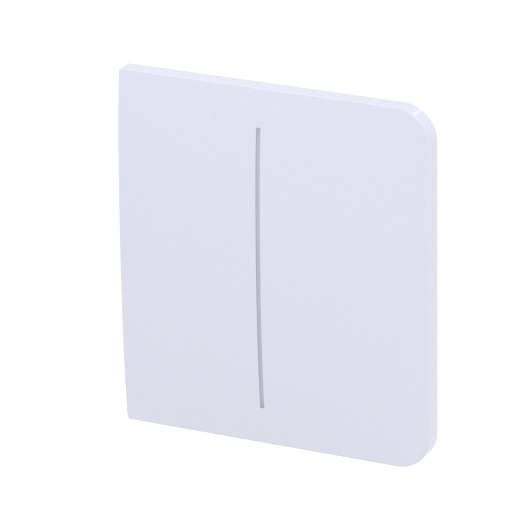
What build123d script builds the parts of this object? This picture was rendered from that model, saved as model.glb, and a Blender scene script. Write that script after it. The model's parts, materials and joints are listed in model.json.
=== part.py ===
"""Touch light switch for a flush wall box: a crowned panel with two touch fields, the end panel of a row.

X is right as seen from the front, Y runs into the wall and Z is up. The origin is where the wall box's
axis meets the wall, so the panel stands on the -Y side and the switching core on the +Y side.
All sizes are in millimetres.
"""

import os
from math import comb

from build123d import *

# Front panel
PANEL_HEIGHT = 85.0
JOINT_SIDE = 35.5  # box axis to the square edge that meets the next panel, half of the 71 mm pitch of a row
FREE_SIDE = 41.3  # box axis to the edge with the round corners
CORNER_RADIUS = 8.2
SQUARE_CORNER_RADIUS = 0.8
RIM_DEPTH = 4.2
CROWN_HEIGHT = 2.14  # how far the face stands proud of its rim at the highest point
CROWN_X = -6.9  # where the highest point lies
CROWN_ROUNDNESS = 0.6  # 1 is a plain parabola, 0 is flat in the middle and rolls off at the edges
CROWN_DEGREE = 4  # the crown's curves are quartics
EDGE_ROUND = 0.4
SHADOW_GAP = 3.0  # wall to the panel's rim
FRONT_WALL = 1.6
SIDE_WALL = 1.6

# Divider strip, the thin grey line between the two touch fields
STRIP_WIDTH = 1.05
STRIP_LENGTH = 67.0
STRIP_RECESS = 0.25
STRIP_CLEARANCE = 0.03
STRIP_FLANGE = 1.2
STRIP_FLANGE_THICKNESS = 0.5

# Touch electrodes, foils bonded behind the face
FOIL_THICKNESS = 0.2
FOIL_BOSS_GAP = 1.2  # foils to the cover's screw bosses, above and below
FOIL_EDGE_GAP = 3.0
FOIL_DIVIDER_GAP = 1.0
BOND_GAP = 0.05
CONTACT_X = 13.0
CONTACT_WIDTH = 2.4
CONTACT_FOOT = 2.0
CONTACT_THICKNESS = 0.2

# Touch board and what it carries
TOUCH_BOARD_WIDTH = 46.0
TOUCH_BOARD_HEIGHT = 47.0
TOUCH_BOARD_THICKNESS = 0.8
TOUCH_BOARD_ROOM = 1.2  # cover to board
STAKE_INSET = 2.6
STAKE_RADIUS = 0.6
STAKE_CLEARANCE = 0.1
STAKE_HEAD_RADIUS = 1.1
STAKE_HEAD_HEIGHT = 0.5
POST_RADIUS = 1.6
LED_WIDTH = 0.8
LED_LENGTH = 1.6
LED_CLEARANCE = 0.1  # lamps to the strip in front of them
LED_SPACING = 14.6
LED_COUNT = 4
CONTROLLER_SIZE = (6.0, 0.9, 6.0)
CONTROLLER_X = 10.0
CONTROLLER_Z = -11.0
CHIP_SIZE = (0.8, 0.5, 1.6)
CHIP_SPACING = 2.6
CHIP_COUNT = 6

# Panel cover and its screws
COVER_THICKNESS = 1.0
COVER_CLEARANCE = 0.15
BOSS_INSET = 6.1
BOSS_RADIUS = 2.2
COVER_SCREW_RADIUS = 1.0
COVER_SCREW_HEAD_RADIUS = 1.7
COVER_SCREW_HEAD = 0.8
COVER_SCREW_LENGTH = 2.5
SCREW_CLEARANCE = 0.15

# Plug between panel and core
PIN_COLUMNS = 5
PIN_ROWS = 2
PIN_PITCH = 2.54
PIN_SIZE = 0.64
PIN_CLEARANCE = 0.12
PIN_REACH = 6.0
HEADER_THICKNESS = 2.5
WINDOW_CLEARANCE = 0.4

# Spigots of the panel and the spring clips that grip them
SPIGOT_RADIUS = 1.5
SPIGOT_REACH = 6.0
SPIGOT_CHAMFER = 0.5
SPIGOT_END_GAP = 0.2
CLIP_GRIP_CLEARANCE = 0.05
CLIP_WALL = 0.5
CLIP_SPLIT = 0.8
CLIP_SEAT_CLEARANCE = 0.05
CLIP_BOSS_WALL = 1.0
CLIP_MOUTH = 0.4

# Support frame and mounting plate
FRAME_INSET = 2.2
FRAME_JOINT_MARGIN = 0.2  # frame beyond the plate on the square edge
FRAME_CLEARANCE = 0.1
FRAME_LEDGE = 2.3  # how far the frame laps over the plate
FRAME_OPENING_RADIUS = 8.0
FRAME_PIN_INSET = 2.9
FRAME_PIN_RADIUS = 1.0
FRAME_PIN_CLEARANCE = 0.05
PLATE_SLOT_WEB = 2.3  # plate left outside the slots
PLATE_THICKNESS = 1.0
PLATE_CORNER_RADIUS = 4.0
PLATE_SEAT_CLEARANCE = 0.1
WALL_SCREW_SPACING = 60.0
WALL_SLOT_LENGTH = 5.4
WALL_SLOT_WIDTH = 3.6
WALL_SCREW_HEAD_ROOM = 3.8

# Core housing, its cover and the screws that hold it to the plate
CORE_WIDTH = 50.0
CORE_CHAMFER = 11.0
CORE_DEPTH = 25.0  # wall to the back of the housing
CORE_WALL = 1.8
CORE_EDGE_ROUND = 1.0
CORE_CORNER_ROUND = 3.0
CORE_COVER_THICKNESS = 2.0
NOSE_SCREW_GAP = 3.0
SPIGOT_SEAT_WALL = 1.8  # nose left outside the spigots' seats
NOSE_CLEARANCE = 0.5
NOSE_HEIGHT = 2.0
NOSE_CHAMFER = 0.4
CORE_SCREW_INSET = 2.0
CORE_SCREW_RADIUS = 1.25
CORE_SCREW_HEAD_RADIUS = 2.3
CORE_SCREW_HEAD = 1.4
CORE_SCREW_LENGTH = 10.0
CORE_BOSS_RADIUS = 2.8
CORE_BOSS_SHOULDER = 0.8
VENT_COUNT = 7
VENT_WIDTH = 1.2
VENT_LENGTH = 9.0
VENT_PITCH = 3.0
VENT_Z = 12.0
LABEL_WIDTH = 26.0
LABEL_HEIGHT = 13.0
LABEL_CORNER_RADIUS = 1.0
LABEL_RECESS = 0.4
LABEL_Z = -3.5

# Relay board
RELAY_BOARD_FRONT = 6.0  # wall to board
RELAY_BOARD_THICKNESS = 1.6
RELAY_BOARD_CLEARANCE = 0.3
RELAY_WIDTH = 7.2
RELAY_LENGTH = 20.5
RELAY_CLEARANCE = 0.3  # relays to the housing's floor
RELAY_EDGE = 0.5
COIL_SIZE = (9.0, 10.0, 11.0)
COIL_Z = 4.0
COIL_ROUND = 2.0
YOKE_LEG = 2.0
YOKE_WIDTH = 6.0
YOKE_CLEARANCE = 0.2
CAN_RADIUS = 4.0
CAN_LENGTH = 12.0
CAN_Z = 6.0
CAN_EDGE = 0.6
VARISTOR_RADIUS = 4.4
VARISTOR_THICKNESS = 4.0
VARISTOR_Z = -4.6
FILM_CAPACITOR_SIZE = (12.5, 10.0, 5.5)
FILM_CAPACITOR_GAP = 1.2  # chambers to film capacitor
RECTIFIER_SIZE = (8.0, 3.0, 6.0)
RECTIFIER_INSET = 6.8
FUSE_RADIUS = 1.5
FUSE_LENGTH = 9.0
FUSE_Z = -9.6
RADIO_THICKNESS = 0.8
RADIO_LENGTH = 11.0
RADIO_GAP = 0.4  # radio board to the spigots' bosses
SHIELD_HEIGHT = 1.8
SHIELD_INSET = 0.8
ANTENNA_RADIUS = 0.4
ANTENNA_REACH = 8.0
ANTENNA_HEIGHT = 1.6
ANTENNA_INSET = 3.6
ANTENNA_GAP = 2.1  # aerial to radio board

# Terminals: a screw draws a cage up against a busbar
TERMINAL_COUNT = 4
TERMINAL_INSET = 5.7
CHAMBER_WALL = 1.0
CHAMBER_BOSS_GAP = 0.1
CHAMBER_DEPTH = 11.4
CAGE_CLEARANCE = 0.3
CAGE_LENGTH = 6.0
CAGE_WALL = 0.8
CAGE_SADDLE = 1.0
CAGE_NUT = 1.6
CAGE_TRAVEL = 3.0
CLAMP_GAP = 0.3  # what is left between saddle and busbar when the cage is drawn right up
WIRE_WINDOW_CLEARANCE = 0.1
BUSBAR_CLEARANCE = 0.2
BUSBAR_THICKNESS = 1.0
BUSBAR_OVERHANG = 0.2
BUSBAR_LEG_GAP = 1.3
NUT_GAP = 0.3
NUT_HEAD_GAP = 0.2
TERMINAL_SCREW_RADIUS = 1.5
TERMINAL_THREAD_CLEARANCE = 0.05
TERMINAL_TIP_GAP = 0.2
TERMINAL_HEAD_RADIUS = 2.2
TERMINAL_HEAD = 1.6
TERMINAL_HEAD_GAP = 0.3
DRIVER_HOLE_RADIUS = 1.9
DRIVER_SLOT_WIDTH = 0.7
DRIVER_SLOT_DEPTH = 0.9

# Depths along Y that several pieces share
RIM_BACK = -SHADOW_GAP
RIM_FRONT = RIM_BACK - RIM_DEPTH
CROWN_TOP = RIM_FRONT - CROWN_HEIGHT
COVER_FRONT = RIM_BACK - COVER_THICKNESS
TOUCH_BOARD_BACK = COVER_FRONT - TOUCH_BOARD_ROOM
TOUCH_BOARD_FRONT = TOUCH_BOARD_BACK - TOUCH_BOARD_THICKNESS
PLATE_FRONT = -PLATE_THICKNESS
FRAME_FRONT = RIM_BACK + FRAME_CLEARANCE
NOSE_FRONT = -NOSE_HEIGHT
SPIGOT_TIP = RIM_BACK + SPIGOT_REACH
HEADER_BACK = TOUCH_BOARD_BACK + HEADER_THICKNESS
PIN_TIP = HEADER_BACK + PIN_REACH
CLIP_FRONT = NOSE_FRONT + CLIP_MOUTH
CLIP_BACK = SPIGOT_TIP + SPIGOT_END_GAP
RELAY_BOARD_BACK = RELAY_BOARD_FRONT + RELAY_BOARD_THICKNESS
CORE_FLOOR = CORE_DEPTH - CORE_WALL
RELAY_BACK = CORE_FLOOR - RELAY_CLEARANCE
TERMINAL_HEAD_BACK = CORE_FLOOR - TERMINAL_HEAD_GAP
TERMINAL_HEAD_FRONT = TERMINAL_HEAD_BACK - TERMINAL_HEAD
NUT_BACK = TERMINAL_HEAD_FRONT - NUT_HEAD_GAP - CAGE_TRAVEL
NUT_FRONT = NUT_BACK - CAGE_NUT
BUSBAR_BACK = NUT_FRONT - NUT_GAP
BUSBAR_FRONT = BUSBAR_BACK - BUSBAR_THICKNESS
SADDLE_BACK = BUSBAR_FRONT - CAGE_TRAVEL - CLAMP_GAP
SADDLE_FRONT = SADDLE_BACK - CAGE_SADDLE


def four_places(width, height):
    """The (x, z) corners of a rectangle about the box axis."""
    return [(x * width / 2, z * height / 2) for x in (-1, 1) for z in (-1, 1)]


# Outlines and places that several pieces share
FOIL_HEIGHT = PANEL_HEIGHT - 2 * (BOSS_INSET + BOSS_RADIUS + FOIL_BOSS_GAP)
PLATE_SIZE = WALL_SCREW_SPACING + WALL_SLOT_LENGTH + 2 * PLATE_SLOT_WEB
FRAME_OPENING = PLATE_SIZE - 2 * FRAME_LEDGE
FRAME_PIN_SPACING = PLATE_SIZE - 2 * FRAME_PIN_INSET
HEADER_WIDTH = PIN_COLUMNS * PIN_PITCH
HEADER_HEIGHT = PIN_ROWS * PIN_PITCH
HEADER_WINDOW = (HEADER_WIDTH + 2 * WINDOW_CLEARANCE, HEADER_HEIGHT + 2 * WINDOW_CLEARANCE)
CLIP_INNER_RADIUS = SPIGOT_RADIUS + CLIP_GRIP_CLEARANCE
CLIP_OUTER_RADIUS = CLIP_INNER_RADIUS + CLIP_WALL
CLIP_SEAT_RADIUS = CLIP_OUTER_RADIUS + CLIP_SEAT_CLEARANCE
CLIP_BOSS_RADIUS = CLIP_SEAT_RADIUS + CLIP_BOSS_WALL
CORE_INNER_WIDTH = CORE_WIDTH - 2 * CORE_WALL
CORE_SCREW_SPACING = CORE_WIDTH - CORE_CHAMFER - 2 * CORE_SCREW_INSET
NOSE_RADIUS = CORE_SCREW_SPACING / 2**0.5 - CORE_SCREW_HEAD_RADIUS - NOSE_SCREW_GAP
SPIGOT_SPACING = 2**0.5 * (NOSE_RADIUS - CLIP_SEAT_RADIUS - SPIGOT_SEAT_WALL)
ANTENNA_Z = CORE_INNER_WIDTH / 2 - ANTENNA_INSET
RADIO_WIDTH = SPIGOT_SPACING - 2 * (CLIP_BOSS_RADIUS + RADIO_GAP)
RADIO_Z = ANTENNA_Z - ANTENNA_GAP - RADIO_LENGTH / 2
RECTIFIER_Z = CORE_INNER_WIDTH / 2 - RECTIFIER_INSET
CORE_SHOULDER_RADIUS = CORE_BOSS_RADIUS + CORE_BOSS_SHOULDER
CORE_SHOULDER_EDGE = CORE_SCREW_SPACING / 2 - CORE_SHOULDER_RADIUS
CHAMBER_TOP = CHAMBER_DEPTH - CORE_INNER_WIDTH / 2
TERMINAL_Z = TERMINAL_INSET - CORE_INNER_WIDTH / 2
TERMINAL_PITCH = 2 * (CORE_SHOULDER_EDGE + CHAMBER_BOSS_GAP) / TERMINAL_COUNT
CAGE_WIDTH = TERMINAL_PITCH - CHAMBER_WALL - 2 * CAGE_CLEARANCE
CAGE_INNER_WIDTH = CAGE_WIDTH - 2 * CAGE_WALL
BUSBAR_WIDTH = CAGE_INNER_WIDTH - 2 * BUSBAR_CLEARANCE
WIRE_WINDOW_WIDTH = CAGE_INNER_WIDTH - 2 * WIRE_WINDOW_CLEARANCE
FILM_CAPACITOR_Z = CHAMBER_TOP + FILM_CAPACITOR_GAP + FILM_CAPACITOR_SIZE[2] / 2
RELAY_Z = (CHAMBER_TOP + CORE_SHOULDER_EDGE) / 2
YOKE_INNER_WIDTH = COIL_SIZE[0] + 2 * YOKE_CLEARANCE
YOKE_OUTER_WIDTH = YOKE_INNER_WIDTH + 2 * YOKE_LEG
BOARD_ROW = (RELAY_WIDTH, RELAY_WIDTH, YOKE_OUTER_WIDTH, 2 * CAN_RADIUS)  # from left to right
BOARD_ROW_GAP = (CORE_INNER_WIDTH - sum(BOARD_ROW)) / (len(BOARD_ROW) + 1)
LEFT_RELAY_X, RIGHT_RELAY_X, COIL_X, CAN_X = (
    (i + 1) * BOARD_ROW_GAP + sum(BOARD_ROW[:i]) + (width - CORE_INNER_WIDTH) / 2
    for i, width in enumerate(BOARD_ROW)
)
SPIGOT_PLACES = four_places(SPIGOT_SPACING, SPIGOT_SPACING)
CORE_SCREW_PLACES = four_places(CORE_SCREW_SPACING, CORE_SCREW_SPACING)
FRAME_PIN_PLACES = four_places(FRAME_PIN_SPACING, FRAME_PIN_SPACING)
STAKE_PLACES = four_places(TOUCH_BOARD_WIDTH - 2 * STAKE_INSET, TOUCH_BOARD_HEIGHT - 2 * STAKE_INSET)
COVER_SCREW_PLACES = [
    (x, z * (PANEL_HEIGHT / 2 - BOSS_INSET))
    for x in (BOSS_INSET - JOINT_SIDE, FREE_SIDE - BOSS_INSET)
    for z in (-1, 1)
]
WALL_SCREW_PLACES = [(x * WALL_SCREW_SPACING / 2, 0) for x in (-1, 1)] + [
    (0, z * WALL_SCREW_SPACING / 2) for z in (-1, 1)
]
TERMINAL_PLACES = [(i - (TERMINAL_COUNT - 1) / 2) * TERMINAL_PITCH for i in range(TERMINAL_COUNT)]
PIN_PLACES = [
    ((column - (PIN_COLUMNS - 1) / 2) * PIN_PITCH, (row - (PIN_ROWS - 1) / 2) * PIN_PITCH)
    for column in range(PIN_COLUMNS)
    for row in range(PIN_ROWS)
]


def prism(sketch, start, end):
    """A sketch drawn in X and Z, drawn out along Y from one depth to the other."""
    return extrude(Plane.XZ.offset(-start) * sketch, amount=start - end)


def post(place, radius, start, end):
    """A round post along Y at an (x, z) place."""
    return prism(Pos(*place) * Circle(radius), start, end)


def block(place, size, start, end):
    """A block along Y, centred on an (x, z) place, with an (x, z) size."""
    return prism(Pos(*place) * Rectangle(*size), start, end)


def panel_outline(inset=0.0, joint_side=JOINT_SIDE):
    """The panel's outline, drawn in by an inset, with its square edge as far from the box axis as given."""
    left = inset - joint_side
    right = FREE_SIDE - inset
    height = PANEL_HEIGHT - 2 * inset
    plain = Pos((left + right) / 2, 0) * Rectangle(right - left, height)
    by_x = plain.vertices().sort_by(Axis.X)
    plain = fillet(by_x[:2], SQUARE_CORNER_RADIUS)
    return fillet(plain.vertices().group_by(Axis.X)[-1], CORNER_RADIUS - inset)


def crown_rise(t):
    """The crown's quartic: 1 in the middle and 0 at -1 and 1."""
    return 1 - CROWN_ROUNDNESS * t**2 - (1 - CROWN_ROUNDNESS) * t**CROWN_DEGREE


def crown_ordinates(low, high):
    """Control heights of the crown's quartic from low to high."""
    heights = []
    for highs in range(CROWN_DEGREE + 1):
        lows = CROWN_DEGREE - highs
        pairs = comb(lows, 2) * low**2 + lows * highs * low * high + comb(highs, 2) * high**2
        square_part = CROWN_ROUNDNESS * pairs / comb(CROWN_DEGREE, 2)
        heights.append(1 - square_part - (1 - CROWN_ROUNDNESS) * low**lows * high**highs)
    return heights


def behind_face(depth=0.0):
    """All the room behind a surface that lies at a depth under the crowned face."""
    margin = SIDE_WALL
    reach_x = FREE_SIDE - CROWN_X
    reach_z = PANEL_HEIGHT / 2
    low_x, high_x = -JOINT_SIDE - margin, FREE_SIDE + margin
    high_z = reach_z + margin
    across = crown_ordinates((low_x - CROWN_X) / reach_x, (high_x - CROWN_X) / reach_x)
    upward = crown_ordinates(-high_z / reach_z, high_z / reach_z)
    heights_z = [high_z * (2 * j / CROWN_DEGREE - 1) for j in range(CROWN_DEGREE + 1)]
    net = [
        [
            (low_x + (high_x - low_x) * i / CROWN_DEGREE, RIM_FRONT + depth - CROWN_HEIGHT * a * u, z)
            for u, z in zip(upward, heights_z)
        ]
        for i, a in enumerate(across)
    ]
    return Solid.extrude(Face.make_bezier_surface(net), (0, CORE_DEPTH, 0))


def under_face(sketch, depth, thickness):
    """A sketch as a layer of even thickness that follows the face at a depth under it."""
    slab = prism(sketch, RIM_BACK, CROWN_TOP)
    return (slab & behind_face(depth)) - behind_face(depth + thickness)


def face_depth(x, z):
    """Y of the crowned face at a place."""
    across = crown_rise((x - CROWN_X) / (FREE_SIDE - CROWN_X))
    upward = crown_rise(z / (PANEL_HEIGHT / 2))
    return RIM_FRONT - CROWN_HEIGHT * across * upward


def screw(place, radius, head_radius, head_start, head_end, tip):
    """A plain screw along Y, its head between two depths and its shank on to the tip."""
    return post(place, head_radius, head_start, head_end) + post(place, radius, head_end, tip)


def octagon(width, cut):
    """A square with its corners cut off."""
    return chamfer(Rectangle(width, width).vertices(), cut)


def core_section(inset=0.0):
    """The core's outline, drawn in evenly by an inset."""
    outline = octagon(CORE_WIDTH - 2 * inset, CORE_CHAMFER - inset * (2 - 2**0.5))
    return fillet(outline.vertices(), CORE_CORNER_ROUND - inset)


def wall_slots():
    """The four radial slots for the wall box's screws."""
    slot = SlotOverall(WALL_SLOT_LENGTH, WALL_SLOT_WIDTH)
    return [Pos(*place) * (slot if place[1] == 0 else Rot(0, 0, 90) * slot) for place in WALL_SCREW_PLACES]


def make_front_panel():
    """Moulded face with its rim, bosses for the cover and stakes for the touch board."""
    shell = prism(panel_outline(), RIM_BACK, CROWN_TOP) & behind_face()
    shell = fillet(shell.faces().sort_by(Axis.Y)[0].edges(), EDGE_ROUND)
    shell -= prism(panel_outline(SIDE_WALL), RIM_BACK, CROWN_TOP) & behind_face(FRONT_WALL)
    seated = behind_face(FRONT_WALL / 2)
    for place in COVER_SCREW_PLACES:
        shell += post(place, BOSS_RADIUS, COVER_FRONT, CROWN_TOP) & seated
        shell -= post(place, COVER_SCREW_RADIUS, COVER_FRONT, COVER_FRONT - COVER_SCREW_LENGTH)
    for place in STAKE_PLACES:
        shell += post(place, POST_RADIUS, TOUCH_BOARD_FRONT, CROWN_TOP) & seated
        shell += post(place, STAKE_RADIUS, TOUCH_BOARD_FRONT, TOUCH_BOARD_BACK + STAKE_HEAD_HEIGHT)
        shell += post(place, STAKE_HEAD_RADIUS, TOUCH_BOARD_BACK, TOUCH_BOARD_BACK + STAKE_HEAD_HEIGHT)
    return shell - block((0, 0), (STRIP_WIDTH, STRIP_LENGTH), TOUCH_BOARD_FRONT, CROWN_TOP)


def make_divider_strip():
    """Grey light bar: a blade that fills the slot in the face, on a flange behind it."""
    blade = Rectangle(STRIP_WIDTH - 2 * STRIP_CLEARANCE, STRIP_LENGTH - 2 * STRIP_CLEARANCE)
    flange = Rectangle(STRIP_WIDTH + 2 * STRIP_FLANGE, STRIP_LENGTH + 2 * STRIP_FLANGE)
    seat = FRONT_WALL + BOND_GAP
    strip = under_face(blade, STRIP_RECESS, seat + STRIP_FLANGE_THICKNESS / 2 - STRIP_RECESS)
    return strip + under_face(flange, seat, STRIP_FLANGE_THICKNESS)


def make_electrode(side):
    """Touch foil behind one half of the face: side is -1 for the left one and 1 for the right one."""
    inner = STRIP_WIDTH / 2 + STRIP_FLANGE + FOIL_DIVIDER_GAP
    outer = (JOINT_SIDE if side < 0 else FREE_SIDE) - SIDE_WALL - FOIL_EDGE_GAP
    sketch = Pos(side * (inner + outer) / 2, 0) * Rectangle(outer - inner, FOIL_HEIGHT)
    for place in STAKE_PLACES:
        sketch -= Pos(*place) * Circle(POST_RADIUS + BOND_GAP)
    return under_face(sketch, FRONT_WALL + BOND_GAP, FOIL_THICKNESS)


def make_electrode_contacts():
    """Two bent leaf contacts that stand on the touch board and press on the foils."""
    contacts = []
    for side in (-1, 1):
        foot = TOUCH_BOARD_FRONT - CONTACT_THICKNESS / 2
        foil_back = face_depth(side * CONTACT_X, 0) + FRONT_WALL + BOND_GAP + FOIL_THICKNESS
        tip = foil_back + BOND_GAP + CONTACT_THICKNESS / 2
        bends = ((-2, foot), (-1, foot), (0, tip), (1, tip))
        points = [(side * (CONTACT_X + step * CONTACT_FOOT), y) for step, y in bends]
        strip = Plane.XY.offset(-CONTACT_WIDTH / 2) * trace(Polyline(*points), CONTACT_THICKNESS)
        contacts.append(extrude(strip, CONTACT_WIDTH))
    return Compound(contacts)


def make_touch_board():
    """Circuit board of the panel, held by the face's stakes."""
    board = block((0, 0), (TOUCH_BOARD_WIDTH, TOUCH_BOARD_HEIGHT), TOUCH_BOARD_FRONT, TOUCH_BOARD_BACK)
    for place in STAKE_PLACES:
        board -= post(place, STAKE_RADIUS + STAKE_CLEARANCE, TOUCH_BOARD_FRONT, TOUCH_BOARD_BACK)
    return board


def make_divider_leds():
    """Lamps in a row behind the divider strip."""
    places = [(0, (i - (LED_COUNT - 1) / 2) * LED_SPACING) for i in range(LED_COUNT)]
    highest_z = places[-1][1] + LED_LENGTH / 2
    strip_back = face_depth(0, highest_z) + FRONT_WALL + BOND_GAP + STRIP_FLANGE_THICKNESS
    size = (LED_WIDTH, LED_LENGTH)
    return Compound([block(p, size, TOUCH_BOARD_FRONT, strip_back + LED_CLEARANCE) for p in places])


def on_touch_board(place, size):
    """A block component on the back of the touch board."""
    width, height, length = size
    return block(place, (width, length), TOUCH_BOARD_BACK, TOUCH_BOARD_BACK + height)


def make_touch_chips():
    """Small parts in a row beside the touch controller."""
    first = CONTROLLER_X - (CHIP_COUNT - 1) / 2 * CHIP_SPACING
    row = CONTROLLER_Z + CONTROLLER_SIZE[2] / 2 + CHIP_SIZE[2]
    return Compound([on_touch_board((first + i * CHIP_SPACING, row), CHIP_SIZE) for i in range(CHIP_COUNT)])


def make_pin_header():
    """Plastic bar on the touch board that holds the pins."""
    body = block((0, 0), (HEADER_WIDTH, HEADER_HEIGHT), TOUCH_BOARD_BACK, HEADER_BACK)
    for place in PIN_PLACES:
        body -= block(place, (PIN_SIZE, PIN_SIZE), TOUCH_BOARD_BACK, HEADER_BACK)
    return body


def make_header_pins():
    """Square pins that plug into the core."""
    return Compound([block(place, (PIN_SIZE, PIN_SIZE), TOUCH_BOARD_BACK, PIN_TIP) for place in PIN_PLACES])


def make_panel_cover():
    """Back of the panel, with a window for the plug and four spigots."""
    cover = prism(panel_outline(SIDE_WALL + COVER_CLEARANCE), COVER_FRONT, RIM_BACK)
    cover -= block((0, 0), HEADER_WINDOW, COVER_FRONT, RIM_BACK)
    for place in COVER_SCREW_PLACES:
        cover -= post(place, COVER_SCREW_RADIUS + SCREW_CLEARANCE, COVER_FRONT, RIM_BACK)
    for place in SPIGOT_PLACES:
        spigot = post(place, SPIGOT_RADIUS, COVER_FRONT, SPIGOT_TIP)
        cover += chamfer(spigot.edges().sort_by(Axis.Y)[-1], SPIGOT_CHAMFER)
    return cover


def make_cover_screws():
    """Screws that hold the cover to the face."""
    head_back = RIM_BACK + COVER_SCREW_HEAD
    tip = COVER_FRONT - COVER_SCREW_LENGTH + SCREW_CLEARANCE
    return Compound(
        [
            screw(p, COVER_SCREW_RADIUS - BOND_GAP, COVER_SCREW_HEAD_RADIUS, head_back, RIM_BACK, tip)
            for p in COVER_SCREW_PLACES
        ]
    )


def make_support_frame():
    """Frame that closes the gap between panel and wall and carries the panel's rim."""
    opening = RectangleRounded(FRAME_OPENING, FRAME_OPENING, FRAME_OPENING_RADIUS)
    for place in WALL_SCREW_PLACES:
        opening += Pos(*place) * Circle(WALL_SCREW_HEAD_ROOM)
    joint_edge = PLATE_SIZE / 2 + FRAME_JOINT_MARGIN
    frame = prism(panel_outline(FRAME_INSET, joint_edge + FRAME_INSET) - opening, FRAME_FRONT, 0)
    seat_right = PLATE_SIZE / 2 + PLATE_SEAT_CLEARANCE
    seat_left = -joint_edge
    seat = ((seat_left + seat_right) / 2, 0), (seat_right - seat_left, PLATE_SIZE + 2 * PLATE_SEAT_CLEARANCE)
    frame -= block(*seat, PLATE_FRONT, 0)
    for place in FRAME_PIN_PLACES:
        frame += post(place, FRAME_PIN_RADIUS, FRAME_FRONT, -FRAME_PIN_CLEARANCE)
    for place in COVER_SCREW_PLACES:
        pocket_floor = RIM_BACK + COVER_SCREW_HEAD + SCREW_CLEARANCE
        frame -= post(place, COVER_SCREW_HEAD_RADIUS + 2 * SCREW_CLEARANCE, FRAME_FRONT, pocket_floor)
    return frame


def make_mounting_plate():
    """Stamped steel plate that is screwed to the wall box."""
    sketch = RectangleRounded(PLATE_SIZE, PLATE_SIZE, PLATE_CORNER_RADIUS)
    sketch -= Circle(NOSE_RADIUS + NOSE_CLEARANCE)
    for slot in wall_slots():
        sketch -= slot
    for place in FRAME_PIN_PLACES:
        sketch -= Pos(*place) * Circle(FRAME_PIN_RADIUS + FRAME_PIN_CLEARANCE)
    for place in CORE_SCREW_PLACES:
        sketch -= Pos(*place) * Circle(CORE_SCREW_RADIUS + SCREW_CLEARANCE)
    return prism(sketch, PLATE_FRONT, 0)


def make_core_cover():
    """Front of the core: a flange behind the plate, a nose through it and bosses down to the board."""
    nose = post((0, 0), NOSE_RADIUS, NOSE_FRONT, 0)
    nose = chamfer(nose.edges().sort_by(Axis.Y)[0], NOSE_CHAMFER)
    cover = prism(core_section(), 0, CORE_COVER_THICKNESS) + nose
    for place in SPIGOT_PLACES:
        cover += post(place, CLIP_BOSS_RADIUS, 0, RELAY_BOARD_FRONT)
        cover -= post(place, CLIP_SEAT_RADIUS, NOSE_FRONT, CLIP_BACK)
    cover -= block((0, 0), HEADER_WINDOW, NOSE_FRONT, CORE_COVER_THICKNESS)
    for place in CORE_SCREW_PLACES:
        cover -= post(place, CORE_SCREW_RADIUS + SCREW_CLEARANCE, 0, CORE_COVER_THICKNESS)
    return cover


def make_spigot_clips():
    """Split spring sleeves that grip the panel's spigots."""
    ring = Circle(CLIP_OUTER_RADIUS) - Circle(CLIP_INNER_RADIUS)
    clips = []
    for x, z in SPIGOT_PLACES:
        outward = 1 if x > 0 else -1
        split = Pos(outward * CLIP_OUTER_RADIUS, 0) * Rectangle(2 * CLIP_OUTER_RADIUS, CLIP_SPLIT)
        clips.append(prism(Pos(x, z) * (ring - split), CLIP_FRONT, CLIP_BACK))
    return Compound(clips)


def make_core_housing():
    """Box behind the wall with screw bosses, terminal chambers, wire windows, vents and room for a label."""
    housing = prism(core_section(), CORE_COVER_THICKNESS, CORE_DEPTH)
    housing = fillet(housing.faces().sort_by(Axis.Y)[-1].edges(), CORE_EDGE_ROUND)
    housing -= prism(core_section(CORE_WALL), CORE_COVER_THICKNESS, CORE_FLOOR)
    inside = prism(core_section(), CORE_COVER_THICKNESS, CORE_FLOOR)
    for place in CORE_SCREW_PLACES:
        boss = post(place, CORE_BOSS_RADIUS, CORE_COVER_THICKNESS, CORE_FLOOR)
        boss += post(place, CORE_SHOULDER_RADIUS, RELAY_BOARD_BACK, CORE_FLOOR)
        housing += boss & inside
    for i in range(TERMINAL_COUNT + 1):
        wall_x = (i - TERMINAL_COUNT / 2) * TERMINAL_PITCH
        low_z = -CORE_INNER_WIDTH / 2 - CORE_WALL / 2
        place, size = (wall_x, (low_z + CHAMBER_TOP) / 2), (CHAMBER_WALL, CHAMBER_TOP - low_z)
        housing += block(place, size, RELAY_BOARD_BACK + RELAY_BOARD_CLEARANCE, CORE_FLOOR)
    for place in CORE_SCREW_PLACES:
        tip = PLATE_FRONT + CORE_SCREW_LENGTH + SCREW_CLEARANCE
        housing -= post(place, CORE_SCREW_RADIUS, CORE_COVER_THICKNESS, tip)
    for x in TERMINAL_PLACES:
        housing -= post((x, TERMINAL_Z), DRIVER_HOLE_RADIUS, CORE_FLOOR, CORE_DEPTH)
        window = (WIRE_WINDOW_WIDTH, 2 * CORE_WALL)
        window_front, window_back = SADDLE_BACK + WIRE_WINDOW_CLEARANCE, BUSBAR_FRONT - WIRE_WINDOW_CLEARANCE
        housing -= block((x, -CORE_WIDTH / 2), window, window_front, window_back)
    for i in range(VENT_COUNT):
        vent_x = (i - (VENT_COUNT - 1) / 2) * VENT_PITCH
        vent = Pos(vent_x, VENT_Z) * Rot(0, 0, 90) * SlotOverall(VENT_LENGTH, VENT_WIDTH)
        housing -= prism(vent, CORE_FLOOR, CORE_DEPTH)
    label = Pos(0, LABEL_Z) * RectangleRounded(LABEL_WIDTH, LABEL_HEIGHT, LABEL_CORNER_RADIUS)
    return housing - prism(label, CORE_DEPTH - LABEL_RECESS, CORE_DEPTH)


def make_core_screws():
    """Screws through plate and cover into the housing."""
    head_front = PLATE_FRONT - CORE_SCREW_HEAD
    tip = PLATE_FRONT + CORE_SCREW_LENGTH
    return Compound(
        [
            screw(p, CORE_SCREW_RADIUS - BOND_GAP, CORE_SCREW_HEAD_RADIUS, head_front, PLATE_FRONT, tip)
            for p in CORE_SCREW_PLACES
        ]
    )


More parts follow.
